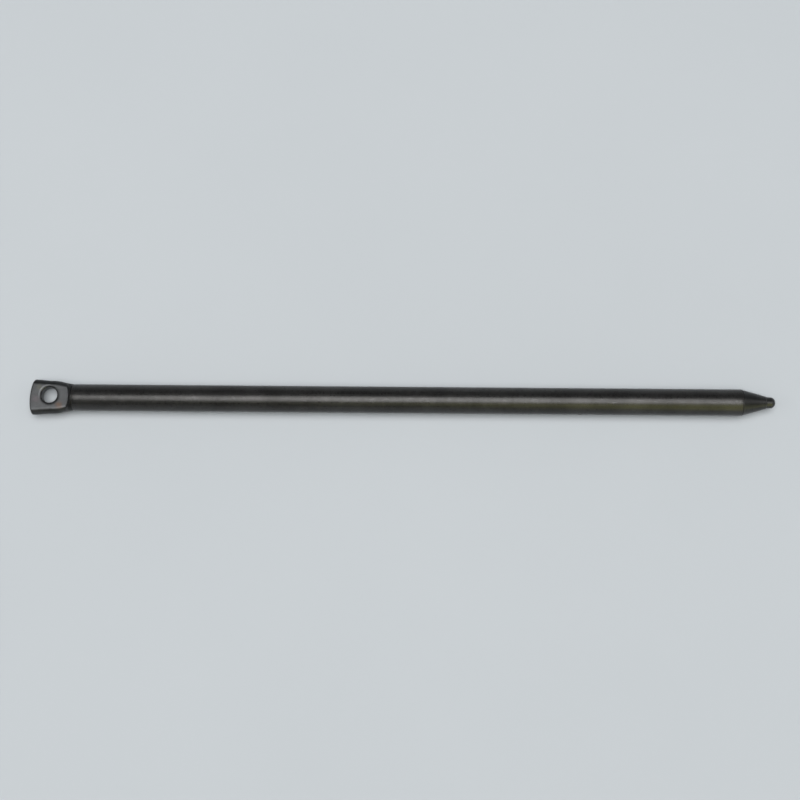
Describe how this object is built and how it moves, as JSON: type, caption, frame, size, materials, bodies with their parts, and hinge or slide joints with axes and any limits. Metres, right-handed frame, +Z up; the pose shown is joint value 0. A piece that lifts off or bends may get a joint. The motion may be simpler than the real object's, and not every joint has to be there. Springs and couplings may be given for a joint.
{
  "type": "tent stake",
  "caption": "Slim straight tubular tent stake with a flat pierced eye at the head for a guy line and a short turned conical point.",
  "frame": {"origin": "on the surface that the stake lies on, at the middle of its box", "axes": "+X along the stake from the eye to the point, +Z up out of the eye's upper flat face, +Y across the eye"},
  "size_m": [0.223, 0.0106, 0.008],
  "materials": {
    "tube_metal": "dark grey hard-anodised, satin, drawn lengthwise",
    "head_metal": "dark grey hard-anodised, satin, rubbed paler on the flat face",
    "point_metal": "dark grey hard-anodised, fine turning rings"
  },
  "bodies": {
    "root": {"shaft_tube": "tube_metal", "eye_head": "head_metal", "point_tip": "point_metal"}
  },
  "joints": []
}
